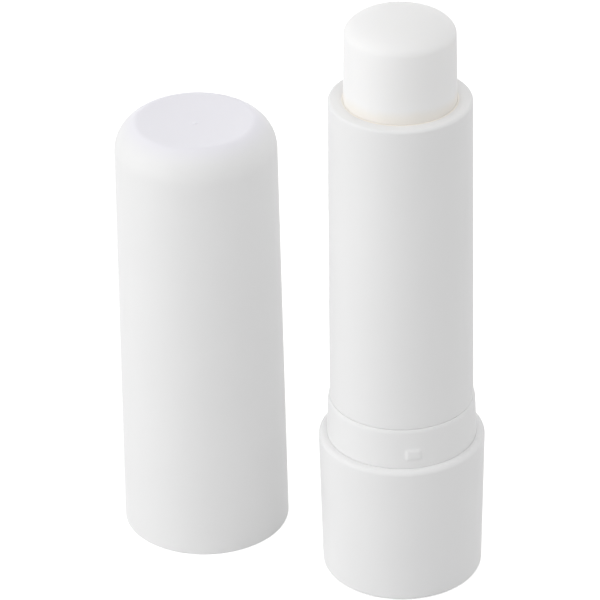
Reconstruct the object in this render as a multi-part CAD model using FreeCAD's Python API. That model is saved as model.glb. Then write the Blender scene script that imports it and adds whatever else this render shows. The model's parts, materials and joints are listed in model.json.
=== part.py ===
"""Twist-up lip balm stick with its cap taken off and stood beside it.

Millimetres, +Z up.  The stick's axis is the Z axis and its foot stands on z = 0.
Turning the tube against the base drives the elevator up a fixed screw, and the
elevator pushes the balm out of the tube's mouth.
"""
import FreeCAD
import Part
import math
import os

# Balm: a moulded bullet with a low dome
balm_diameter = 12.34
balm_nose_draft = 0.11
balm_nose_length = 7.6
balm_dome_height = 2.37
balm_show = 10.1
balm_retract = 0.4

# Tube: the long plain barrel, with a skirt that turns inside the collar
tube_length = 37.04
tube_wall = 1.56
tube_draft = 0.19
tube_rim_edge = 0.34
tube_mouth_slope = 0.55
tube_mouth_drop = 0.1
tube_shoulder_width = 0.6
skirt_bead_height = 1.1
skirt_bead_proud = 0.18
skirt_bead_lead = 0.5
keyway_count = 2
keyway_width = 1.8
keyway_depth = 0.4
keyway_stop = 7.0

# Collar: the sleeve that holds the tube's skirt, with the neck that the cap grips
neck_height = 4.79
neck_step = 0.18
neck_draft = 0.18
neck_top_edge = 0.25
collar_ledge_height = 3.4
collar_lead = 0.3
pip_count = 2
pip_width = 1.75
pip_height = 1.5
pip_proud = 0.2
pip_rise = 1.75
pip_edge = 0.12
pip_angle = -82.6

# Base: the drafted shell that the fingers turn
base_height = 17.2
base_ledge = 0.95
base_draft = 0.33
base_wall = 0.95
base_floor = 1.2
base_foot_edge = 0.45
base_top_edge = 0.4
base_inner_edge = 0.3
base_seam_chamfer = 0.12
foot_recess = 0.4
foot_ring_width = 1.6
drive_rib_count = 4
drive_rib_width = 1.2
drive_rib_depth = 0.6

# Drive screw: a spindle on a keyed foot, drawn at the crest of its thread
screw_diameter = 4.4
screw_lead = 4.0
screw_foot_thickness = 1.2
screw_boss_diameter = 7.0
screw_boss_height = 4.4
screw_tip = 0.8

# Elevator: the plate, nut and fins that carry the balm
elevator_plate = 1.2
elevator_edge = 0.2
nut_wall = 0.95
nut_drop = 2.5
nut_rise = 3.0
fin_count = 4
fin_thickness = 0.8
fin_height = 2.4
fin_margin = 0.9

# Cap: a drafted closed shell with a dished top
cap_height = 51.6
cap_overhang = 0.15
cap_draft = 0.46
cap_shoulder = 3.9
cap_mouth_edge = 0.15
cap_wall = 0.95
cap_roof = 1.2
cap_dish_diameter = 16.5
cap_dish_depth = 0.67
cap_crest = 1.0
cap_bead_height = 0.35
cap_bead_proud = 0.18
cap_stand_gap = 5.9
cap_stand_angle = 154.9
gate_diameter = 0.5
gate_height = 0.08

# Clearances between the pieces
running_clearance = 0.1
shoulder_gap = 0.06
skirt_end_gap = 0.4
bead_gap = 0.15
press_gap = 0.02
key_gap = 0.1
thread_gap = 0.15
stop_gap = 0.3
balm_gap = 0.12
balm_cast_gap = 0.03
channel_gap = 0.4
cap_neck_gap = 0.2
cap_tube_gap = 0.35
cap_land_gap = 0.4
snap_gap = 0.1
overrun = 1.0

# Radii, from the balm outwards
full_turn = 360.0
balm_radius = balm_diameter / 2
bore_radius = balm_radius + balm_gap
mouth_radius = bore_radius + tube_wall
tube_radius = mouth_radius + tube_draft
keyway_radius = bore_radius + keyway_depth
skirt_radius = tube_radius - tube_shoulder_width
bead_radius = skirt_radius + skirt_bead_proud
collar_bore_radius = skirt_radius + running_clearance
counterbore_radius = bead_radius + running_clearance
neck_top_radius = tube_radius + neck_step
neck_radius = neck_top_radius + neck_draft
base_top_radius = neck_radius + base_ledge
base_foot_radius = base_top_radius - base_draft
cap_mouth_radius = base_top_radius + cap_overhang
cap_top_radius = cap_mouth_radius - cap_draft
screw_radius = screw_diameter / 2
screw_boss_radius = screw_boss_diameter / 2
nut_bore_radius = screw_radius + thread_gap
nut_radius = nut_bore_radius + nut_wall
plate_radius = bore_radius - running_clearance

# Heights, from the foot upwards
floor_top = foot_recess + base_floor
foot_top = floor_top + screw_foot_thickness
ledge_height = foot_top + collar_ledge_height
collar_top = base_height + neck_height
shoulder_height = collar_top + shoulder_gap
mouth_height = shoulder_height + tube_length
keyway_top = mouth_height - keyway_stop
boss_top = foot_top + screw_boss_height

# Travel of the elevator's top face
plate_lowest = boss_top + stop_gap + nut_drop + elevator_plate
plate_highest = keyway_top - stop_gap
travel_down = balm_show + balm_retract
plate_top = plate_lowest + travel_down
travel_up = plate_highest - plate_top
plate_bottom = plate_top - elevator_plate
balm_top = mouth_height + balm_show
screw_top = plate_highest + nut_rise - screw_tip

ORIGIN = FreeCAD.Vector(0, 0, 0)
UP = FreeCAD.Vector(0, 0, 1)


def base_radius_at(height):
    """Outside radius of the drafted base at a height above its foot."""
    return base_foot_radius + base_draft * height / base_height


def base_bore_at(height):
    """Inside radius of the base, whose wall keeps the same thickness all the way."""
    return base_radius_at(height) - base_wall


def sleeve_radius_at(height):
    """Outside radius of the collar's sleeve, pressed into the base."""
    return base_bore_at(height) - press_gap


def neck_radius_at(rise):
    """Outside radius of the collar's neck at a height above the base."""
    return neck_radius - neck_draft * rise / neck_height


def outline_face(corners):
    """Face inside (radius, height, rounding) corners, with a tangent arc at each rounded one."""
    places = [FreeCAD.Vector(radius, 0, height) for radius, height, rounding in corners]
    enters = []
    leaves = []
    arcs = []
    for index, here in enumerate(places):
        rounding = corners[index][2]
        back = (places[index - 1] - here).normalize()
        ahead = (places[(index + 1) % len(places)] - here).normalize()
        half_angle = back.getAngle(ahead) / 2
        run = rounding / math.tan(half_angle)
        enters.append(here + back * run)
        leaves.append(here + ahead * run)
        if rounding:
            inward = (back + ahead).normalize()
            middle = here + inward * (rounding / math.sin(half_angle) - rounding)
            arcs.append(Part.Arc(enters[-1], middle, leaves[-1]).toShape())
        else:
            arcs.append(None)
    edges = []
    for index in range(len(places)):
        if arcs[index]:
            edges.append(arcs[index])
        edges.append(Part.makeLine(leaves[index], enters[(index + 1) % len(places)]))
    return Part.Face(Part.Wire(edges))


def turned(corners):
    """Solid of revolution about the Z axis."""
    return outline_face(corners).revolve(ORIGIN, UP, full_turn)


def radial_block(inner, outer, width, bottom, top):
    """Block that runs out along +X from one radius to another, centred across the X axis."""
    corner = FreeCAD.Vector(inner, -width / 2, bottom)
    return Part.makeBox(outer - inner, width, top - bottom, corner)


def round_the_axis(shape, count, first_angle):
    """Copies of a shape, spaced evenly round the Z axis."""
    return [shape.rotated(ORIGIN, UP, first_angle + full_turn * k / count) for k in range(count)]


def gate_mark(height):
    """Small stub left on the axis where the plastic was fed into the mould."""
    corner = FreeCAD.Vector(0, 0, height)
    return Part.makeCylinder(gate_diameter / 2, gate_height, corner)


def make_base_shell():
    """Open shell on a foot ring, with ribs at its floor that key the screw's foot."""
    chamfer_foot = base_height - base_seam_chamfer
    recess_radius = base_foot_radius - foot_ring_width
    shell = turned([
        (0, foot_recess, 0),
        (recess_radius, foot_recess, 0),
        (recess_radius, 0, 0),
        (base_foot_radius, 0, base_foot_edge),
        (base_top_radius, base_height, base_top_edge),
        (base_bore_at(chamfer_foot) + base_seam_chamfer, base_height, 0),
        (base_bore_at(chamfer_foot), chamfer_foot, 0),
        (base_bore_at(floor_top), floor_top, base_inner_edge),
        (0, floor_top, 0),
    ])
    rib = radial_block(base_bore_at(floor_top) - drive_rib_depth, base_bore_at(foot_top) + base_wall / 2,
                       drive_rib_width, floor_top - base_floor / 2, foot_top)
    ribs = round_the_axis(rib, drive_rib_count, 0)
    return shell.fuse(ribs + [gate_mark(foot_recess - gate_height)])


def make_collar():
    """Sleeve pressed into the base: a ledge inside traps the tube, pips outside hold the cap."""
    sleeve = turned([
        (counterbore_radius, foot_top, 0),
        (sleeve_radius_at(foot_top), foot_top, collar_lead),
        (sleeve_radius_at(base_height), base_height, 0),
        (neck_radius, base_height, 0),
        (neck_top_radius, collar_top, neck_top_edge),
        (collar_bore_radius, collar_top, 0),
        (collar_bore_radius, ledge_height, 0),
        (counterbore_radius, ledge_height, 0),
    ])
    pip_height_middle = base_height + pip_rise
    pip_root = (collar_bore_radius + neck_top_radius) / 2
    pip_face = neck_radius_at(pip_rise) + pip_proud
    pip = radial_block(pip_root, pip_face, pip_width,
                       pip_height_middle - pip_height / 2, pip_height_middle + pip_height / 2)
    face_edges = [edge for edge in pip.Edges if edge.BoundBox.XMin > pip_root]
    pip = pip.makeFillet(pip_edge, face_edges)
    return sleeve.fuse(round_the_axis(pip, pip_count, pip_angle))


def make_tube():
    """Barrel with a thick rounded rim, a stepped-in skirt with a snap bead, and blind keyways."""
    skirt_bottom = foot_top + skirt_end_gap
    bead_top = ledge_height - bead_gap
    bead_bottom = bead_top - skirt_bead_height
    barrel = turned([
        (bore_radius, skirt_bottom, 0),
        (skirt_radius, skirt_bottom, 0),
        (skirt_radius, bead_bottom - skirt_bead_lead, 0),
        (bead_radius, bead_bottom, 0),
        (bead_radius, bead_top, 0),
        (skirt_radius, bead_top, 0),
        (skirt_radius, shoulder_height, 0),
        (tube_radius, shoulder_height, 0),
        (mouth_radius, mouth_height, tube_rim_edge),
        (bore_radius + tube_mouth_slope, mouth_height, 0),
        (bore_radius, mouth_height - tube_mouth_drop, 0),
    ])
    keyway = radial_block(0, keyway_radius, keyway_width, skirt_bottom - overrun, keyway_top)
    return barrel.cut(round_the_axis(keyway, keyway_count, 0))


def make_drive_screw():
    """Spindle that stands on a notched foot plate, with a boss that stops the elevator."""
    foot_radius = base_bore_at(floor_top) - press_gap
    tip_radius = screw_radius - screw_tip / 2
    spindle = turned([
        (0, floor_top, 0),
        (foot_radius - base_inner_edge, floor_top, 0),
        (foot_radius, floor_top + base_inner_edge, 0),
        (foot_radius, foot_top, 0),
        (screw_boss_radius, foot_top, 0),
        (screw_boss_radius, boss_top, 0),
        (screw_radius, boss_top, 0),
        (screw_radius, screw_top - screw_tip, 0),
        (tip_radius, screw_top, 0),
        (0, screw_top, 0),
    ])
    notch = radial_block(foot_radius - drive_rib_depth - key_gap, foot_radius + overrun,
                         drive_rib_width + key_gap * 2, floor_top - overrun, foot_top + overrun)
    return spindle.cut(round_the_axis(notch, drive_rib_count, 0))


def elevator_fins(gap):
    """Upright fins that grip the balm, grown by a gap to cut their slots in it."""
    fin = radial_block(nut_radius - nut_wall / 2, plate_radius - fin_margin + gap, fin_thickness + gap * 2,
                       plate_bottom + elevator_plate / 2, plate_top + fin_height + gap)
    half_step = full_turn / fin_count / 2
    return round_the_axis(fin, fin_count, half_step)


def make_elevator():
    """Plate with a nut through its middle, fins on top and lugs that ride in the tube's keyways."""
    plate = turned([
        (nut_bore_radius, plate_bottom - nut_drop, 0),
        (nut_radius, plate_bottom - nut_drop, 0),
        (nut_radius, plate_bottom, 0),
        (plate_radius, plate_bottom, elevator_edge),
        (plate_radius, plate_top, elevator_edge),
        (nut_radius, plate_top, 0),
        (nut_radius, plate_top + nut_rise, elevator_edge),
        (nut_bore_radius, plate_top + nut_rise, 0),
    ])
    lug = radial_block(nut_radius, keyway_radius - key_gap, keyway_width - key_gap * 2,
                       plate_bottom, plate_top)
    return plate.fuse(elevator_fins(0) + round_the_axis(lug, keyway_count, 0))


def balm_dome(radius, bottom):
    """Quarter of an ellipse, spun round the axis."""
    middle = FreeCAD.Vector(0, 0, bottom)
    side = FreeCAD.Vector(radius, 0, bottom)
    tip = FreeCAD.Vector(0, 0, bottom + balm_dome_height)
    ellipse = Part.Ellipse(side, tip, middle)
    curve = Part.ArcOfEllipse(ellipse, 0, math.pi / 2).toShape()
    section = Part.Wire([Part.makeLine(middle, side), curve, Part.makeLine(tip, middle)])
    return Part.Face(section).revolve(ORIGIN, UP, full_turn)


def make_balm():
    """Bullet that sits on the elevator's plate, hollow where the screw and the nut go up into it."""
    nose_radius = balm_radius - balm_nose_draft
    dome_bottom = balm_top - balm_dome_height
    channel_top = screw_top + travel_down + channel_gap
    bullet = turned([
        (screw_radius + channel_gap, plate_top, 0),
        (balm_radius, plate_top, 0),
        (balm_radius, dome_bottom - balm_nose_length, 0),
        (nose_radius, dome_bottom, 0),
        (0, dome_bottom, 0),
        (0, channel_top, 0),
        (screw_radius + channel_gap, channel_top, 0),
    ])
    pocket_corner = FreeCAD.Vector(0, 0, plate_top - overrun)
    pocket_depth = nut_rise + overrun + balm_cast_gap
    pocket = Part.makeCylinder(nut_radius + balm_cast_gap, pocket_depth, pocket_corner)
    bullet = bullet.fuse(balm_dome(nose_radius, dome_bottom))
    return bullet.cut([pocket] + elevator_fins(balm_cast_gap))


def cap_outer_radius_at(height):
    """Outside radius of the drafted cap at a height above its mouth."""
    return cap_mouth_radius - cap_draft * height / cap_height


def make_cap():
    """Closed shell, standing on its mouth, with a land and a snap bead inside for the collar's neck."""
    roof_under = cap_height - cap_dish_depth - cap_roof
    land_radius = neck_radius + cap_neck_gap
    land_top = neck_height + cap_land_gap
    guide_radius = tube_radius + cap_tube_gap
    bead_radius_inside = land_radius - cap_bead_proud
    bead_top = pip_rise - pip_height / 2 - snap_gap
    bead_bottom = bead_top - cap_bead_proud - cap_bead_height
    shell = turned([
        (land_radius, 0, 0),
        (cap_mouth_radius, 0, cap_mouth_edge),
        (cap_top_radius, cap_height, cap_shoulder),
        (0, cap_height, 0),
        (0, roof_under, 0),
        (cap_outer_radius_at(roof_under) - cap_wall, roof_under, cap_shoulder - cap_wall),
        (guide_radius, land_top + land_radius - guide_radius, 0),
        (land_radius, land_top, 0),
        (land_radius, bead_top, 0),
        (bead_radius_inside, bead_top - cap_bead_proud, 0),
        (bead_radius_inside, bead_bottom, 0),
    ])
    dish_chord = cap_dish_diameter / 2
    dish_radius = (dish_chord ** 2 + cap_dish_depth ** 2) / (cap_dish_depth * 2)
    dish_middle = FreeCAD.Vector(0, 0, cap_height - cap_dish_depth + dish_radius)
    shell = shell.cut(Part.makeSphere(dish_radius, dish_middle))
    crest_edges = [edge for edge in shell.Edges if is_crest(edge)]
    shell = shell.makeFillet(cap_crest, crest_edges)
    shell = shell.fuse(gate_mark(cap_height - cap_dish_depth))
    reach = base_top_radius + cap_stand_gap + cap_mouth_radius
    away = math.radians(cap_stand_angle)
    return shell.translated(FreeCAD.Vector(reach * math.cos(away), reach * math.sin(away), 0))


def is_crest(edge):
    """Whether an edge is the circle where the cap's dish meets its shoulder."""
    on_top = edge.BoundBox.ZMin > cap_height - cap_roof
    return on_top and edge.Length > cap_dish_diameter


def write_step(name, shape):
    """Save one piece, which has to be a single valid solid."""
    solid = shape.removeSplitter().Solids[0]
    if len(shape.Solids) > 1 or not solid.isValid():
        raise ValueError(name + " is not one valid solid")
    solid.exportStep("parts/" + name + ".step")
    print(name, round(solid.Volume, 2), "cubic millimetres")


os.makedirs("parts", exist_ok=True)
write_step("base_shell", make_base_shell())
write_step("collar", make_collar())
write_step("drive_screw", make_drive_screw())
write_step("tube", make_tube())
write_step("elevator", make_elevator())
write_step("balm", make_balm())
write_step("cap", make_cap())
print("travel down", round(travel_down, 3), "up", round(travel_up, 3))
print("turn down", round(travel_down / screw_lead * full_turn, 2))
print("turn up", round(travel_up / screw_lead * full_turn, 2))
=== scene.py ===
# %% [markdown]
# A twist-up lip balm stick with its cap off.
# The stick is a handful of moulded pieces that share one axis: a short base that the fingers hold, a
# collar pressed into it, a long tube, and inside a screw and an elevator that push the balm out.
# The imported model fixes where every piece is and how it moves. This lesson dresses it: each piece is
# drawn as an outline, spun round its axis and given a finish, and then the whole is lit and looked at
# from where the photograph was taken.

# %% Load the frame
import json
import math

import bmesh
import bpy
from mathutils import Matrix, Vector


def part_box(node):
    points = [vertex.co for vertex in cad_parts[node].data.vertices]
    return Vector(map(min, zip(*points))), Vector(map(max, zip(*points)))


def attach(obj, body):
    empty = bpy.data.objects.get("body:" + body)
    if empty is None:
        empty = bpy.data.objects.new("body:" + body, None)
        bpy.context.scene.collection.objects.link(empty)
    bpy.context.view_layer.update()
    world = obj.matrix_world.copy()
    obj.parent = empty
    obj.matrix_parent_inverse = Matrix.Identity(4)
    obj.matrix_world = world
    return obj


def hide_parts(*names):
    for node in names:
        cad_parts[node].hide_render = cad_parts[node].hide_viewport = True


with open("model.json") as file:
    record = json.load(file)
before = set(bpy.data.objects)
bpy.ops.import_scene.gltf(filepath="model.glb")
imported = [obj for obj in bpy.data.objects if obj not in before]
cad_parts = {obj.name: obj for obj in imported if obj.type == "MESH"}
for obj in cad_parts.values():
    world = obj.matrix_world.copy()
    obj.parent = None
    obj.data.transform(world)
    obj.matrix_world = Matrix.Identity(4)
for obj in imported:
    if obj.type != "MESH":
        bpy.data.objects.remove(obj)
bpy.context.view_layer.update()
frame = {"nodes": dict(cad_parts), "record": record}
print("nodes", sorted(frame["nodes"]))

# %% [markdown]
# Blender counts in metres, but a lip balm is thought of in millimetres, so the outlines are drawn in
# millimetres and made small at the very end. The sizes that the frame holds are read from it, so that no
# piece can drift off its place.

# %% Read the main sizes
MM = 0.001


def box_mm(node):
    """Lowest and highest corner of a CAD node, in millimetres."""
    low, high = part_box(node)
    return Vector(low) / MM, Vector(high) / MM


def radius_of(node):
    """Radius of a round node, taken from the narrower side of its box."""
    low, high = box_mm(node)
    return min(high.x - low.x, high.y - low.y) / 2


base_height = box_mm("base_shell")[1].z
collar_top = box_mm("collar")[1].z
mouth_height = box_mm("tube")[1].z
balm_top = box_mm("balm")[1].z
plate_top = box_mm("balm")[0].z
cap_height = box_mm("cap")[1].z
cap_axis = (box_mm("cap")[0] + box_mm("cap")[1]) / 2
print("heights of base, collar, mouth, balm and cap:",
      [round(size, 2) for size in (base_height, collar_top, mouth_height, balm_top, cap_height)])

# %% [markdown]
# Nearly every piece of this object is round, so the tool for it is a lathe. An outline is drawn in the
# X-Z plane from a few corner points, and a spin of the outline about the Z axis makes the solid. A
# cylinder could be cut and bevelled instead, but the outline keeps every radius, draft and wall exact.
#
# A corner is rounded by spinning a single vertex about the centre of the rounding. A long wall beside
# such a rounding shades badly, because the normals at their shared edge lean, and the lean spreads over
# the whole wall. So the wall gets a holding edge close to the rounding.

# %% Draw an outline
ARC_STEP = math.radians(6)
HOLD = 0.15
LONGEST_RUN = 3.0


def round_off(before, corner, after, rounding):
    """Where the rounding of a corner starts and ends, its centre, and the angle that it turns."""
    inward = (corner - before).normalized()
    outward = (after - corner).normalized()
    turn = math.atan2(inward.x * outward.z - inward.z * outward.x, inward.dot(outward))
    run = rounding * math.tan(abs(turn) / 2)
    side = Vector((-inward.z, 0, inward.x)) * math.copysign(rounding, turn)
    return corner - inward * run, corner + outward * run, corner - inward * run + side, turn


def line_to(bm, tip, place):
    """Draw a straight edge on from the tip of the outline."""
    vert = bm.verts.new(place)
    bm.edges.new((tip, vert))
    return vert


def draw_outline(corners, closed=True):
    """Wire in the X-Z plane through (radius, height, rounding) corners."""
    bm = bmesh.new()
    points = [Vector((radius, 0, height)) for radius, height, rounding in corners]
    count = len(points)
    arcs = []
    for number, (radius, height, rounding) in enumerate(corners):
        arcs.append(round_off(points[number - 1], points[number], points[(number + 1) % count], rounding))
    first = tip = bm.verts.new(arcs[0][0])
    for number, (start, end, centre, turn) in enumerate(arcs):
        following = (number + 1) % count
        rounded, next_rounded = corners[number][2], corners[following][2]
        if rounded:
            spun = bmesh.ops.spin(bm, geom=[tip], cent=centre, axis=(0, -1, 0), angle=turn,
                                  steps=max(4, math.ceil(abs(turn) / ARC_STEP)))
            tip = [item for item in spun["geom_last"] if isinstance(item, bmesh.types.BMVert)][0]
        if following == 0 and not closed:
            break
        run = arcs[following][0] - end
        if rounded and run.length > HOLD * 4:
            tip = line_to(bm, tip, end + run.normalized() * HOLD)
        if next_rounded and run.length > HOLD * 4:
            tip = line_to(bm, tip, arcs[following][0] - run.normalized() * HOLD)
        if following:
            tip = line_to(bm, tip, arcs[following][0])
        else:
            bm.edges.new((tip, first))
    for edge in [edge for edge in bm.edges if edge.calc_length() > LONGEST_RUN]:
        bmesh.ops.subdivide_edges(bm, edges=[edge], cuts=int(edge.calc_length() / LONGEST_RUN))
    return bm


# %% Spin an outline, and make a piece of it
SPIN_STEPS = 180
MERGE = 0.0005
SHARP_ANGLE = math.radians(35)


def lathe(bm, first_angle=0.0):
    """Spin an outline round the Z axis, weld its seam and poles, and turn its faces outwards."""
    bmesh.ops.rotate(bm, cent=(0, 0, 0), matrix=Matrix.Rotation(first_angle, 3, "Z"), verts=bm.verts)
    bmesh.ops.spin(bm, geom=bm.verts[:] + bm.edges[:], cent=(0, 0, 0), axis=(0, 0, 1),
                   angle=math.tau, steps=SPIN_STEPS, use_merge=True)
    bmesh.ops.remove_doubles(bm, verts=bm.verts, dist=MERGE)
    bmesh.ops.recalc_face_normals(bm, faces=bm.faces)
    return bm


def make_piece(bm, name, body, axis=(0, 0, 0)):
    """Turn a mesh in millimetres into an object in metres that rides on a body."""
    bmesh.ops.translate(bm, vec=axis, verts=bm.verts)
    bmesh.ops.scale(bm, vec=(MM, MM, MM), verts=bm.verts)
    mesh = bpy.data.meshes.new(name)
    bm.to_mesh(mesh)
    bm.free()
    mesh.shade_smooth()
    mesh.set_sharp_from_angle(angle=SHARP_ANGLE)
    piece = bpy.data.objects.new(name, mesh)
    bpy.context.scene.collection.objects.link(piece)
    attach(piece, body)
    print(name, "has", len(mesh.polygons), "faces")
    return piece


# %% [markdown]
# Pads, ribs and keyways break the round walls. They aren't stuck on: a patch of the spun wall is inset and
# then lifted or sunk, so that the piece stays one skin. The patch is found by its angle, height and radius.

# %% Lift a patch of a wall
PATCH_MARGIN = 0.1


def turn_between(place, angle):
    """Angle round the Z axis from a direction to a place, between minus and plus half a turn."""
    return (math.atan2(place.y, place.x) - angle + math.pi) % math.tau - math.pi


def wall_patch(bm, angle, half_width, heights, radii):
    """Faces of a wall round an angle, between two heights and two radii."""
    patch = []
    for face in bm.faces:
        middle = face.calc_center_median()
        inside = heights[0] < middle.z < heights[1] and radii[0] < middle.xy.length < radii[1]
        if inside and abs(turn_between(middle, angle)) < half_width:
            patch.append(face)
    return patch


def lift_patch(bm, angle, half_width, heights, radii, slope, lift):
    """Inset a patch of a wall and lift it, or sink it if the lift is negative."""
    patch = wall_patch(bm, angle, half_width, heights, radii)
    bmesh.ops.inset_region(bm, faces=patch, thickness=slope, depth=lift, use_even_offset=True)
    return patch


def ease(share):
    """Smooth step from 0 to 1."""
    share = min(max(share, 0), 1)
    return share * share * (3 - 2 * share)


# %% [markdown]
# The base is the knob. Its wall leans out a little towards the top, because that is how it comes out of
# its mould, and it stands on a ring round a shallow recess with the stub where the plastic was fed in.
# Four ribs at the floor inside keep the screw from turning.

# %% Turn base
base_radius = radius_of("base_shell")
base_lean = 0.33
foot_radius = base_radius - base_lean
foot_ring = 1.6
base_wall = 0.95
bore_top = base_radius - base_wall
bore_bottom = foot_radius - base_wall
bore_lean_at_ribs = 0.025
top_rounding = 0.5
foot_rounding = 0.45
seam_rounding = 0.05
floor_top = 1.6
foot_recess = 0.4
stub_radius = 0.25
stub_height = 0.08
rib_top = 2.8
rib_depth = 0.6
rib_half_width = math.radians(4.1)

base_mesh = lathe(draw_outline([
    (0, foot_recess - stub_height, 0),
    (stub_radius, foot_recess - stub_height, 0.03),
    (stub_radius, foot_recess, 0.03),
    (foot_radius - foot_ring, foot_recess, 0.1),
    (foot_radius - foot_ring, 0, 0.12),
    (foot_radius, 0, foot_rounding),
    (base_radius, base_height, top_rounding),
    (bore_top, base_height, seam_rounding),
    (bore_bottom + bore_lean_at_ribs, rib_top, 0),
    (bore_bottom, floor_top, 0.1),
    (0, floor_top, 0),
], closed=False))
for quarter in range(4):
    lift_patch(base_mesh, quarter * math.pi / 2, rib_half_width, (floor_top + PATCH_MARGIN, rib_top),
               (bore_bottom - PATCH_MARGIN, bore_bottom + PATCH_MARGIN), 0.02, rib_depth)
turn_base = make_piece(base_mesh, "turn_base", "base")
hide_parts("base_shell")

# %% [markdown]
# The collar stands out of the base as a tapered neck that the cap is pushed onto. Two small raised pads
# on it click behind a bead in the cap, and an inner ledge holds the tube down. The neck is as wide as the
# bore that the sleeve is pressed into, so the seam to the base is no more than a soft crease. The pads
# can't be an inset, because their edges fade out, so their patch is divided finely and then raised.

# %% Collar
neck_radius = radius_of("collar")
neck_draft = 0.18
neck_taper = neck_draft / (collar_top - base_height)
sleeve_bottom = 2.8
ledge_height = 6.2
collar_wall = 0.86
collar_bore = neck_radius - collar_wall
ledge_width = 0.18
collar_counterbore = collar_bore + ledge_width
sleeve_play = 0.02
lip_drop = 0.36
lip_inset = 0.12
pip_heights = (base_height + 0.9, base_height + 2.5)
pip_angle = math.radians(-82.6)
pip_half_width = math.radians(7.1)
pip_slope = 0.45
pip_proud = 0.17
PIP_ROWS = 15
PIP_COLUMNS = 2


def neck_at(height):
    """Radius of the tapered neck at a height."""
    return neck_radius - neck_taper * (height - base_height)


collar_mesh = lathe(draw_outline([
    (collar_counterbore, sleeve_bottom, 0.05),
    (bore_bottom, sleeve_bottom, 0.2),
    (bore_top - sleeve_play, base_height, 0),
    (neck_radius, base_height, 0),
    (neck_at(pip_heights[0]), pip_heights[0], 0),
    (neck_at(pip_heights[1]), pip_heights[1], 0),
    (neck_at(collar_top - lip_drop), collar_top - lip_drop, 1.0),
    (neck_at(collar_top) - lip_inset, collar_top, 0.2),
    (collar_bore, collar_top, 0.05),
    (collar_bore, ledge_height, 0.05),
    (collar_counterbore, ledge_height, 0.05),
]), pip_angle)
for angle in (pip_angle, pip_angle + math.pi):
    wall = (collar_bore + collar_wall / 2, neck_radius + PATCH_MARGIN)
    for upright, cuts in ((True, PIP_ROWS), (False, PIP_COLUMNS)):
        patch = wall_patch(collar_mesh, angle, pip_half_width, pip_heights, wall)
        edges = {edge for face in patch for edge in face.edges}
        runs = [edge for edge in edges if (abs(edge.verts[0].co.z - edge.verts[1].co.z) > MERGE) == upright]
        bmesh.ops.subdivide_edges(collar_mesh, edges=runs, cuts=cuts)
    patch = wall_patch(collar_mesh, angle, pip_half_width, pip_heights, wall)
    for vert in {vert for face in patch for vert in face.verts}:
        out = Vector((vert.co.x, vert.co.y, 0)).normalized()
        aside = neck_radius * (pip_half_width - abs(turn_between(out, angle)))
        above, below = vert.co.z - pip_heights[0], pip_heights[1] - vert.co.z
        vert.co += out * pip_proud * ease(aside / pip_slope) * ease(min(above, below) / pip_slope)
    print("pip raised from", len(patch), "faces")
collar_sleeve = make_piece(collar_mesh, "collar_sleeve", "base")
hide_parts("collar")

# %% [markdown]
# The tube turns in the collar. Its stepped-in skirt reaches down inside, where a bead snaps under the
# collar's ledge. The mouth has a thick rim, rounded outside, that slopes down a little to the bore. Two
# keyways inside make the elevator turn with the tube, and a hair's gap above the collar lets it turn.

# %% Tube
tube_radius = radius_of("tube")
tube_lean = 0.19
mouth_radius = tube_radius - tube_lean
rim_width = 1.56
bore_radius = mouth_radius - rim_width
mouth_slope = 0.55
mouth_drop = 0.1
skirt_step = 0.6
skirt_radius = tube_radius - skirt_step
skirt_bottom = box_mm("tube")[0].z
bead_proud = 0.18
bead_top = ledge_height - 0.15
bead_foot = ledge_height - 1.25
bead_ramp_foot = ledge_height - 1.75
turn_gap = 0.025
shoulder_height = collar_top + turn_gap
rim_rounding = 0.34
mouth_rounding = 0.5
keyway_heights = (skirt_bottom + 0.4, mouth_height - 7.0)
keyway_half_width = math.radians(8.1)
keyway_depth = 0.4

tube_mesh = lathe(draw_outline([
    (bore_radius, skirt_bottom, 0.05),
    (skirt_radius, skirt_bottom, 0.05),
    (skirt_radius, bead_ramp_foot, 0),
    (skirt_radius + bead_proud, bead_foot, 0.1),
    (skirt_radius + bead_proud, bead_top, 0.05),
    (skirt_radius, bead_top, 0.05),
    (skirt_radius, shoulder_height, 0.05),
    (tube_radius, shoulder_height, 0.04),
    (mouth_radius, mouth_height, rim_rounding),
    (bore_radius + mouth_slope, mouth_height, mouth_rounding),
    (bore_radius, mouth_height - mouth_drop, 0.05),
    (bore_radius, keyway_heights[1], 0),
    (bore_radius, keyway_heights[0], 0),
]))
for angle in (0, math.pi):
    lift_patch(tube_mesh, angle, keyway_half_width, keyway_heights,
               (bore_radius - PATCH_MARGIN, bore_radius + PATCH_MARGIN), 0.01, -keyway_depth)
barrel_tube = make_piece(tube_mesh, "barrel_tube", "barrel")
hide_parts("tube")

# %% [markdown]
# The balm is a bullet of wax. Its dome is half an ellipse: a vertex is spun through a quarter of a circle,
# and the arc is pressed flat. Inside it is hollow, with a pocket for the elevator and a channel for the
# screw.

# %% Balm
balm_radius = radius_of("balm")
nose_taper = 0.11
nose_curve = 40.0
nose_radius = balm_radius - nose_taper
nose_length = 7.6
dome_height = 2.37
dome_foot = balm_top - dome_height
channel_radius = 2.6
channel_top = balm_top - 4.3
pocket_radius = 3.33
pocket_top = plate_top + 3.03
DOME_STEPS = 20

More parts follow.
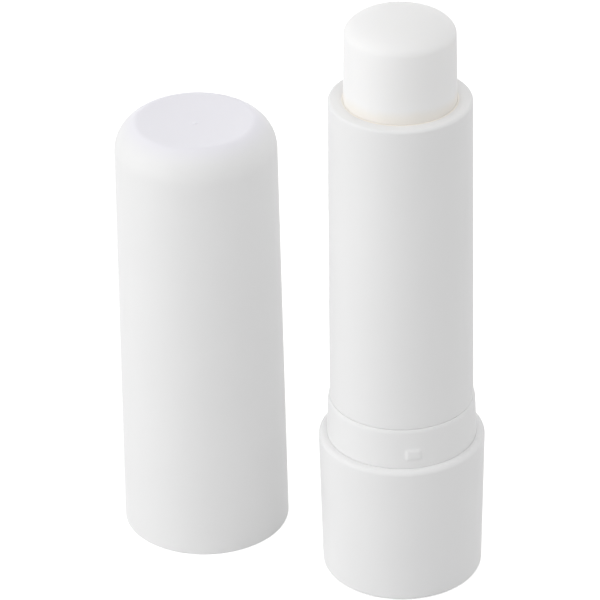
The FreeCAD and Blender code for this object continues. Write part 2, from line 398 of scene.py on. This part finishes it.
balm_mesh = draw_outline([
    (0, channel_top, 0),
    (channel_radius, channel_top, 0.3),
    (channel_radius, pocket_top, 0.05),
    (pocket_radius, pocket_top, 0.05),
    (pocket_radius, plate_top, 0.05),
    (balm_radius, plate_top, 0.1),
    (balm_radius, dome_foot - nose_length, nose_curve),
    (nose_radius, dome_foot, 0),
], closed=False)
dome_edge = min(balm_mesh.verts, key=lambda vert: (vert.co - Vector((nose_radius, 0, dome_foot))).length)
drawn = set(balm_mesh.verts)
bmesh.ops.spin(balm_mesh, geom=[dome_edge], cent=(0, 0, dome_foot), axis=(0, -1, 0), angle=math.pi / 2,
               steps=DOME_STEPS)
bmesh.ops.scale(balm_mesh, vec=(1, 1, dome_height / nose_radius),
                space=Matrix.Translation((0, 0, -dome_foot)),
                verts=[vert for vert in balm_mesh.verts if vert not in drawn])
balm_bullet = make_piece(lathe(balm_mesh), "balm_bullet", "carriage")
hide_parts("balm")

# %% [markdown]
# Where the balm slides out, the mouth wipes a little softened wax off it, and this stays in the gap as a
# thin ring. Its warm colour is painted light, which stands in for the warm light that comes out of the gap.
# It belongs to the tube, so the balm moves through it.

# %% Wax left in the mouth
wipe_gap = 0.015
wipe_top = mouth_height - 0.06
wipe_reach = 0.12
wipe_fall = 0.03
wipe_bottom = mouth_height - 1.3

wax_ring = make_piece(lathe(draw_outline([
    (balm_radius + wipe_gap, wipe_bottom, 0.02),
    (bore_radius, wipe_bottom, 0.02),
    (bore_radius, mouth_height - mouth_drop, 0),
    (bore_radius + wipe_reach, wipe_top - wipe_fall, 0),
    (balm_radius + wipe_gap, wipe_top, 0.02),
])), "wax_ring", "barrel")

# %% [markdown]
# The cap is a tall cup. Its dished top rises to a soft crest and rolls over a full shoulder into a wall
# that widens towards the mouth. Inside are a land and a bead that grip the neck.

# %% Cap
cap_radius = radius_of("cap")
cap_lean = 0.46
cap_lean_height = 51.6
cap_taper = cap_lean / cap_lean_height
neck_room = 0.2
land_radius = neck_radius + neck_room
snap_reach = 0.18
bead_radius = land_radius - snap_reach
bead_heights = (0.37, 0.72)
land_bottom = 0.9
land_top = 5.19
tube_room = 0.35
guide_radius = tube_radius + tube_room
dish_bottom = cap_height - 0.39
dish_flat = 3.3
dish_curve = 50.0
crest_radius = 6.64
crest_height = cap_height - 0.008
crest_rounding = 1.0
shoulder_corner = cap_height - 1.24
shoulder_rounding = 3.9
roof_thickness = 1.2
roof_under = dish_bottom - roof_thickness
roof_rounding = 2.95
cap_wall = 0.95


def cap_wall_at(height):
    """Outside radius of the cap's drafted wall at a height."""
    return cap_radius - cap_taper * height


cap_shell = make_piece(lathe(draw_outline([
    (0, dish_bottom + stub_height, 0),
    (stub_radius, dish_bottom + stub_height, 0.03),
    (stub_radius, dish_bottom, 0.04),
    (dish_flat, dish_bottom, dish_curve),
    (crest_radius, crest_height, crest_rounding),
    (cap_wall_at(shoulder_corner), shoulder_corner, shoulder_rounding),
    (cap_radius, 0, 0.15),
    (land_radius, 0, 0.03),
    (bead_radius, bead_heights[0], 0.05),
    (bead_radius, bead_heights[1], 0.05),
    (land_radius, land_bottom, 0.03),
    (land_radius, land_top, 0.05),
    (guide_radius, land_top + land_radius - guide_radius, 0.1),
    (cap_wall_at(roof_under) - cap_wall, roof_under, roof_rounding),
    (0, roof_under, 0),
], closed=False)), "cap_shell", "cap", axis=(cap_axis.x, cap_axis.y, 0))
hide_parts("cap")

# %% [markdown]
# The screw stands on a plate in the base and is never seen, but the balm climbs on it, so it gets a real
# thread. The profile of one lead is spun and lifted at the same time, and every turn meets the next one.
# The lead is read from the coupling in the record. The profile's numbers are shares of the pitch, each
# with a one at the root and a zero at the crest. Two planes cut the thread to length.

# %% Screw
screw_radius = 2.2
thread_depth = 0.5
thread_starts = 2
thread_profile = ((0.3, 1), (0.5, 0), (0.8, 0), (1.0, 1))
screw_top = box_mm("drive_screw")[1].z
plate_radius = radius_of("drive_screw")
boss_radius = 3.5
boss_height = 4.4
boss_top = rib_top + boss_height
thread_sunk = 0.5
notch_room = 0.1
notch_half_width = math.radians(6.1)
lead = frame["record"]["behaviour"]["couplings"][0]["ratio"] * math.tau / MM
pitch = lead / thread_starts
turns = math.ceil((screw_top - floor_top) / lead) + 1
STEPS_PER_TURN = 48

screw_mesh = bmesh.new()
tip = screw_mesh.verts.new((screw_radius - thread_depth, 0, floor_top - lead))
for start in range(thread_starts):
    for part, depth in thread_profile:
        height = floor_top - lead + (start + part) * pitch
        tip = line_to(screw_mesh, tip, (screw_radius - thread_depth * depth, 0, height))
bmesh.ops.spin(screw_mesh, geom=screw_mesh.verts[:] + screw_mesh.edges[:], cent=(0, 0, 0), axis=(0, 0, 1),
               dvec=(0, 0, lead / STEPS_PER_TURN), angle=math.tau * turns, steps=STEPS_PER_TURN * turns)
bmesh.ops.remove_doubles(screw_mesh, verts=screw_mesh.verts, dist=MERGE)
for height, clear_above in ((boss_top - thread_sunk, False), (screw_top, True)):
    everything = screw_mesh.verts[:] + screw_mesh.edges[:] + screw_mesh.faces[:]
    cut = bmesh.ops.bisect_plane(screw_mesh, geom=everything, plane_co=(0, 0, height), plane_no=(0, 0, 1),
                                 clear_outer=clear_above, clear_inner=not clear_above)
    ring = [item for item in cut["geom_cut"] if isinstance(item, bmesh.types.BMEdge)]
    bmesh.ops.edgeloop_fill(screw_mesh, edges=ring)
foot_mesh = lathe(draw_outline([
    (0, floor_top, 0),
    (plate_radius, floor_top, 0),
    (plate_radius, rib_top, 0),
    (boss_radius, rib_top, 0.1),
    (boss_radius, boss_top, 0.1),
    (0, boss_top, 0),
], closed=False))
for quarter in range(4):
    lift_patch(foot_mesh, quarter * math.pi / 2, notch_half_width, (floor_top, rib_top),
               (plate_radius - PATCH_MARGIN, plate_radius + PATCH_MARGIN), 0.01, -rib_depth - notch_room)
foot_data = bpy.data.meshes.new("foot")
foot_mesh.to_mesh(foot_data)
foot_mesh.free()
screw_mesh.from_mesh(foot_data)
bpy.data.meshes.remove(foot_data)
bmesh.ops.recalc_face_normals(screw_mesh, faces=screw_mesh.faces)
drive_spindle = make_piece(screw_mesh, "drive_spindle", "base")
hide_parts("drive_screw")

# %% [markdown]
# White moulded plastic looks plain, but it is never one flat colour. The melt leaves broad patches that
# are a shade apart, the mould leaves a fine grain, and handling leaves faint upright rubs where the skin
# is a little duller. All the moulded pieces share this, so it is one node group with named sockets: each
# material gives it two close colours and the two ends of its roughness. The shader itself stays in the
# material, and so do the values that are the same all over.

# %% A skin for moulded plastic
PATCH_SIZE = 16.0
RUB_SIZE = 1.2
RUB_SQUEEZE = 0.08
GRAIN_SIZE = 0.25
FACTOR, COLOUR_A, COLOUR_B, COLOUR_OUT = 0, 6, 7, 2


def add_node(tree, kind, **values):
    """New shader node in a tree, with values for some of its sockets."""
    node = tree.nodes.new("ShaderNode" + kind)
    for socket, value in values.items():
        node.inputs[socket.replace("_", " ")].default_value = value
    return node


def add_noise(tree, coordinates, size, detail):
    """Noise whose blotches are about so many millimetres across."""
    noise = add_node(tree, "TexNoise", Scale=1 / (size * MM), Detail=detail)
    tree.links.new(coordinates, noise.inputs["Vector"])
    return noise.outputs["Fac"]


def spread(tree, value, low, high):
    """Map the middle of a noise's range to two values or sockets."""
    ramp = add_node(tree, "MapRange", From_Min=0.35, From_Max=0.65)
    tree.links.new(value, ramp.inputs["Value"])
    for socket, end in (("To Min", low), ("To Max", high)):
        if isinstance(end, bpy.types.NodeSocket):
            tree.links.new(end, ramp.inputs[socket])
        else:
            ramp.inputs[socket].default_value = end
    return ramp.outputs["Result"]


def mix_colours(tree, factor, first, second):
    """Mix two colour sockets."""
    mix = tree.nodes.new("ShaderNodeMix")
    mix.data_type = "RGBA"
    tree.links.new(factor, mix.inputs[FACTOR])
    tree.links.new(first, mix.inputs[COLOUR_A])
    tree.links.new(second, mix.inputs[COLOUR_B])
    return mix.outputs[COLOUR_OUT]


def new_group(name, inputs):
    """Empty node group that takes named inputs and puts out a colour, a roughness and a height."""
    group = bpy.data.node_groups.new(name, "ShaderNodeTree")
    for socket, kind in inputs.items():
        group.interface.new_socket(socket, in_out="INPUT", socket_type="NodeSocket" + kind)
    for socket, kind in {"Colour": "Color", "Roughness": "Float", "Height": "Float"}.items():
        group.interface.new_socket(socket, in_out="OUTPUT", socket_type="NodeSocket" + kind)
    return group, group.nodes.new("NodeGroupInput").outputs, group.nodes.new("NodeGroupOutput").inputs


moulded_skin, given, wanted = new_group("moulded_skin", {
    "Coordinates": "Vector", "Colour": "Color", "Shade": "Color", "Smoothest": "Float", "Roughest": "Float"})
patches = spread(moulded_skin, add_noise(moulded_skin, given["Coordinates"], PATCH_SIZE, 2.0), 0.0, 1.0)
moulded_skin.links.new(mix_colours(moulded_skin, patches, given["Colour"], given["Shade"]), wanted["Colour"])
upright = add_node(moulded_skin, "Mapping", Scale=(1, 1, RUB_SQUEEZE))
moulded_skin.links.new(given["Coordinates"], upright.inputs["Vector"])
rubs = add_noise(moulded_skin, upright.outputs["Vector"], RUB_SIZE, 3.0)
moulded_skin.links.new(spread(moulded_skin, rubs, given["Smoothest"], given["Roughest"]), wanted["Roughness"])
moulded_skin.links.new(add_noise(moulded_skin, given["Coordinates"], GRAIN_SIZE, 2.0), wanted["Height"])
print("moulded_skin has", len(moulded_skin.nodes), "nodes")

# %% [markdown]
# The plastic also lets a little light in, so that its edges aren't hard. That is subsurface scattering
# over a good half of a millimetre. A wider reach would look softer still, but near a seam the light then
# leaves by the hidden faces behind it, and the seam turns black.

# %% White plastics
def new_material(name, group, **values):
    """Material with a group's colour, roughness and bump on a Principled shader, not yet tuned."""
    material = bpy.data.materials.new(name)
    material.use_nodes = True
    tree = material.node_tree
    shader = tree.nodes["Principled BSDF"]
    place = tree.nodes.new("ShaderNodeTexCoord")
    skin = tree.nodes.new("ShaderNodeGroup")
    skin.node_tree = group
    for socket, value in values.items():
        skin.inputs[socket].default_value = value
    bump = add_node(tree, "Bump", Strength=0.25, Distance=0.01 * MM)
    tree.links.new(place.outputs["Object"], skin.inputs["Coordinates"])
    tree.links.new(skin.outputs["Colour"], shader.inputs["Base Color"])
    tree.links.new(skin.outputs["Roughness"], shader.inputs["Roughness"])
    tree.links.new(skin.outputs["Height"], bump.inputs["Height"])
    tree.links.new(bump.outputs["Normal"], shader.inputs["Normal"])
    return material, tree, shader, skin, place


def moulded(name, colour, shade, glow=0.6):
    """White plastic with a satin skin, that some of the light enters for so many millimetres."""
    made = new_material(name, moulded_skin, Colour=(*colour, 1), Shade=(*shade, 1),
                        Smoothest=0.52, Roughest=0.62)
    shader = made[2]
    shader.inputs["Subsurface Weight"].default_value = 0.15
    shader.inputs["Subsurface Radius"].default_value = (1, 1, 1)
    shader.inputs["Subsurface Scale"].default_value = glow * MM
    shader.inputs["IOR"].default_value = 1.49
    shader.inputs["Specular IOR Level"].default_value = 0.25
    return made


base_finish = moulded("base_finish", (0.87, 0.87, 0.87), (0.855, 0.855, 0.857))[0]
collar_finish = moulded("collar_finish", (0.873, 0.873, 0.873), (0.86, 0.86, 0.86))[0]
tube_finish = moulded("tube_finish", (0.87, 0.87, 0.87), (0.857, 0.857, 0.857))[0]
mechanism_finish = moulded("mechanism_finish", (0.84, 0.84, 0.83), (0.81, 0.81, 0.8), 0.8)[0]
turn_base.data.materials.append(base_finish)
collar_sleeve.data.materials.append(collar_finish)
barrel_tube.data.materials.append(tube_finish)
drive_spindle.data.materials.append(mechanism_finish)
elevator = frame["nodes"]["elevator"]
for number in range(len(elevator.material_slots)):
    elevator.material_slots[number].material = mechanism_finish
print("elevator keeps its shape and gets", mechanism_finish.name)

# %% [markdown]
# The dished top of the cap is painted lighter than its wall. This is painted light: it stands in for the
# light that falls on the upturned top. The dish also has a breath of violet, the cap's own tone, and both
# fade out over the shoulder. Paint on the dish's faces would end in a hard line, and a change with height
# would leave a band round the shoulder, so the two colours change with the distance from the cap's axis.

# %% The cap's plastic, with painted light on its top
cap_white, cap_shade = (0.87, 0.87, 0.87), (0.858, 0.858, 0.858)
# painted light: the dish colours are lighter than the wall's, for the light that falls on the top; their
# violet is the cap's own tone
painted_light_dish_white, painted_light_dish_shade = (0.905, 0.896, 0.952), (0.895, 0.886, 0.94)
painted_light_outside, painted_light_inside = 8.8, 6.4

cap_finish_and_painted_light, tree, shader, skin, place = moulded("cap_finish_and_painted_light", cap_white, cap_shade)
from_axis = add_node(tree, "Mapping", Location=(-cap_axis.x * MM, -cap_axis.y * MM, 0), Scale=(1, 1, 0))
tree.links.new(place.outputs["Object"], from_axis.inputs["Vector"])
reach = tree.nodes.new("ShaderNodeVectorMath")
reach.operation = "LENGTH"
tree.links.new(from_axis.outputs["Vector"], reach.inputs[0])
# mask of the painted light on the top: it grows from the shoulder in to the dish, and the loop below mixes
# the wall's colours into the lighter dish colours by it
top = add_node(tree, "MapRange", From_Min=painted_light_outside * MM, From_Max=painted_light_inside * MM)
top.interpolation_type = "SMOOTHSTEP"
tree.links.new(reach.outputs["Value"], top.inputs["Value"])
for socket, wall, dish in (("Colour", cap_white, painted_light_dish_white), ("Shade", cap_shade, painted_light_dish_shade)):
    tint = tree.nodes.new("ShaderNodeMix")
    tint.data_type = "RGBA"
    tint.inputs[COLOUR_A].default_value = (*wall, 1)
    tint.inputs[COLOUR_B].default_value = (*dish, 1)
    tree.links.new(top.outputs["Result"], tint.inputs[FACTOR])
    tree.links.new(tint.outputs[COLOUR_OUT], skin.inputs[socket])
cap_shell.data.materials.append(cap_finish_and_painted_light)
print(cap_finish_and_painted_light.name, "has", len(tree.nodes), "nodes")

# %% [markdown]
# The balm is wax, so a little of the light goes about a millimetre into it. The end that stands in the air
# has a white bloom. Lower down and inside the tube the wax is painted warmer: this is painted light, which
# stands in for the warm light that comes back out of the gap at the mouth. The colour goes from one to the
# other just above the mouth, along a slightly wavy line. Mould marks run up it as very faint streaks.

# %% A skin for wax, with painted warm light low down
CLOUD_SIZE = 4.0
WAVE = 0.4
STREAK_SIZE = 0.8
STREAK_SQUEEZE = 0.06

wax_skin, given, wanted = new_group("wax_skin", {
    "Coordinates": "Vector", "Bloom": "Color", "Cream": "Color",
    "Cream Height": "Float", "Bloom Height": "Float"})
place_z = wax_skin.nodes.new("ShaderNodeSeparateXYZ")
wax_skin.links.new(given["Coordinates"], place_z.inputs["Vector"])
cloud = add_noise(wax_skin, given["Coordinates"], CLOUD_SIZE, 3.0)
drift = add_node(wax_skin, "MapRange", From_Min=0.3, From_Max=0.7, To_Min=-WAVE * MM, To_Max=WAVE * MM)
wax_skin.links.new(cloud, drift.inputs["Value"])
wavy = wax_skin.nodes.new("ShaderNodeMath")
wax_skin.links.new(place_z.outputs["Z"], wavy.inputs[0])
wax_skin.links.new(drift.outputs["Result"], wavy.inputs[1])
# painted light: this mask lays the painted warm light on the wax below the bloom height
rise = add_node(wax_skin, "MapRange")
rise.interpolation_type = "SMOOTHSTEP"
wax_skin.links.new(wavy.outputs["Value"], rise.inputs["Value"])
wax_skin.links.new(given["Cream Height"], rise.inputs["From Min"])
wax_skin.links.new(given["Bloom Height"], rise.inputs["From Max"])
shades = mix_colours(wax_skin, rise.outputs["Result"], given["Cream"], given["Bloom"])
wax_skin.links.new(shades, wanted["Colour"])
upright = add_node(wax_skin, "Mapping", Scale=(1, 1, STREAK_SQUEEZE))
wax_skin.links.new(given["Coordinates"], upright.inputs["Vector"])
streaks = add_noise(wax_skin, upright.outputs["Vector"], STREAK_SIZE, 3.0)
wax_skin.links.new(spread(wax_skin, cloud, 0.6, 0.7), wanted["Roughness"])
wax_skin.links.new(streaks, wanted["Height"])
print("wax_skin has", len(wax_skin.nodes), "nodes")


# %% Balm wax
def waxy(name, bloom, painted_warmth, heights, glow):
    """Wax that turns from a painted warm light to bloom between two heights, lit from within for some
    millimetres.
    """
    material, tree, shader, skin, place = new_material(name, wax_skin, Bloom=(*bloom, 1), Cream=(*painted_warmth, 1))
    skin.inputs["Cream Height"].default_value = heights[0] * MM
    skin.inputs["Bloom Height"].default_value = heights[1] * MM
    shader.inputs["Subsurface Weight"].default_value = 0.2
    shader.inputs["Subsurface Radius"].default_value = (1.0, 0.95, 0.9)
    shader.inputs["Subsurface Scale"].default_value = glow * MM
    shader.inputs["IOR"].default_value = 1.44
    shader.inputs["Specular IOR Level"].default_value = 0.25
    return material


# painted light: the balm is painted warmer just above the mouth and below it, for the warm light out of the
# gap
painted_warmth_line = (mouth_height + 0.1, mouth_height + 1.9)
ring_painted_warmth_line = (mouth_height - 0.6, mouth_height)
balm_finish_and_painted_warmth = waxy("balm_finish_and_painted_warmth", (0.945, 0.942, 0.938), (0.935, 0.9, 0.85), painted_warmth_line, 1.2)
# painted light: both of the ring's colours are warm, painted for the warm light that comes out of the gap
wiped_finish_and_painted_warmth = waxy("wiped_finish_and_painted_warmth", (0.95, 0.91, 0.855), (0.95, 0.9, 0.83), ring_painted_warmth_line, 0.1)
balm_bullet.data.materials.append(balm_finish_and_painted_warmth)
wax_ring.data.materials.append(wiped_finish_and_painted_warmth)
print("balm and ring get", balm_finish_and_painted_warmth.name, "and", wiped_finish_and_painted_warmth.name)

# %% [markdown]
# The camera stands where the photographer's stood: in front, thirty degrees up, and far off with a long
# lens, so that the stick's sides stay nearly parallel. The photograph leans a degree, so the camera rolls.

# %% Camera
CAMERA_ELEVATION = math.radians(30.228)
CAMERA_ROLL = math.radians(-1.033)
CAMERA_DISTANCE = 479.0
CAMERA_TARGET = Vector((-11.17, 0.0, 34.157))
CAMERA_LENS = 260.35

camera_data = bpy.data.cameras.new("photo_camera")
camera_data.lens = CAMERA_LENS
camera_data.sensor_width = 36.0
camera_data.clip_start = 0.01
camera_data.clip_end = 20.0
camera = bpy.data.objects.new("photo_camera", camera_data)
bpy.context.scene.collection.objects.link(camera)
look = Vector((0.0, math.cos(CAMERA_ELEVATION), -math.sin(CAMERA_ELEVATION)))
place = (CAMERA_TARGET - look * CAMERA_DISTANCE) * MM
tilt = Matrix.Rotation(math.pi / 2 - CAMERA_ELEVATION, 4, "X")
camera.matrix_world = Matrix.Translation(place) @ tilt @ Matrix.Rotation(CAMERA_ROLL, 4, "Z")
bpy.context.scene.camera = camera
print("camera at", [round(value, 3) for value in place], "metres")

# %% [markdown]
# The background of the photograph is pure white. More light would wash out the object, so the floor and
# the room only look white: where a ray comes straight from the camera, or by way of a shiny or clear
# surface, they get brighter, and the light that falls on the object stays as it was. The floor is still
# a matt surface, so it keeps the soft shadow under the stick.

# %% Floor
FLOOR_REACH = 2.0
FLOOR_LIFT = 0.6


def seen_directly(tree):
    """One for a ray from the camera, a reflection or a see-through surface, and otherwise zero."""
    rays = tree.nodes.new("ShaderNodeLightPath")
    total = rays.outputs["Is Camera Ray"]
    for name in ("Is Glossy Ray", "Is Transmission Ray"):
        either = tree.nodes.new("ShaderNodeMath")
        either.operation = "MAXIMUM"
        tree.links.new(total, either.inputs[0])
        tree.links.new(rays.outputs[name], either.inputs[1])
        total = either.outputs["Value"]
    return total


floor_mesh = bpy.data.meshes.new("floor")
floor_bm = bmesh.new()
bmesh.ops.create_grid(floor_bm, x_segments=1, y_segments=1, size=FLOOR_REACH)
floor_bm.to_mesh(floor_mesh)
floor_bm.free()
floor = bpy.data.objects.new("floor", floor_mesh)
bpy.context.scene.collection.objects.link(floor)
floor_paint = bpy.data.materials.new("floor_paint")
floor_paint.use_nodes = True
tree = floor_paint.node_tree
shader = tree.nodes["Principled BSDF"]
shader.inputs["Base Color"].default_value = (0.8, 0.8, 0.8, 1)
shader.inputs["Roughness"].default_value = 0.9
shader.inputs["Specular IOR Level"].default_value = 0.0
shader.inputs["Emission Color"].default_value = (1, 1, 1, 1)
lift = add_node(tree, "MapRange", To_Max=FLOOR_LIFT)
tree.links.new(seen_directly(tree), lift.inputs["Value"])
tree.links.new(lift.outputs["Result"], shader.inputs["Emission Strength"])
floor_mesh.materials.append(floor_paint)
print("floor is", 2 * FLOOR_REACH, "metres wide")

# %% [markdown]
# The light is a bright room with five large soft lamps round the object. The strongest is on the left, a
# little from the front, and another hangs overhead. Weaker ones at both sides and behind lift the shaded
# walls. The lamps' levels are set so that no white surface burns out.

# %% Light
ROOM_LEVEL = 0.5
SOFTBOX_SIZE = 0.4
SOFTBOX_DISTANCE = 0.6

world = bpy.data.worlds.new("studio")
bpy.context.scene.world = world
world.use_nodes = True
tree = world.node_tree
level = add_node(tree, "MapRange", To_Min=ROOM_LEVEL, To_Max=1.0)
tree.links.new(seen_directly(tree), level.inputs["Value"])
tree.links.new(level.outputs["Result"], tree.nodes["Background"].inputs["Strength"])
tree.nodes["Background"].inputs["Color"].default_value = (1, 1, 1, 1)


def softbox(name, azimuth, elevation, power):
    """Square area lamp that faces the object; azimuth 0 is the camera's side, and plus is to the right."""
    around, up = math.radians(azimuth), math.radians(elevation)
    aim = Vector((-math.sin(around) * math.cos(up), math.cos(around) * math.cos(up), -math.sin(up)))
    lamp = bpy.data.lights.new(name, "AREA")
    lamp.shape = "SQUARE"
    lamp.size = SOFTBOX_SIZE
    lamp.energy = power
    box = bpy.data.objects.new(name, lamp)
    bpy.context.scene.collection.objects.link(box)
    place = CAMERA_TARGET * MM - aim * SOFTBOX_DISTANCE
    box.matrix_world = Matrix.Translation(place) @ aim.to_track_quat("-Z", "Y").to_matrix().to_4x4()
    return box


for name, azimuth, elevation, power in (
        ("key_left", -55, 15, 0.96), ("side_left", -90, 15, 0.58), ("top", 0, 75, 0.82),
        ("side_right", 95, 15, 0.48), ("back", 180, 15, 0.55)):
    softbox(name, azimuth, elevation, power)
    print(name, "lamp of", power, "watts")

bpy.context.scene.view_settings.view_transform = "Standard"
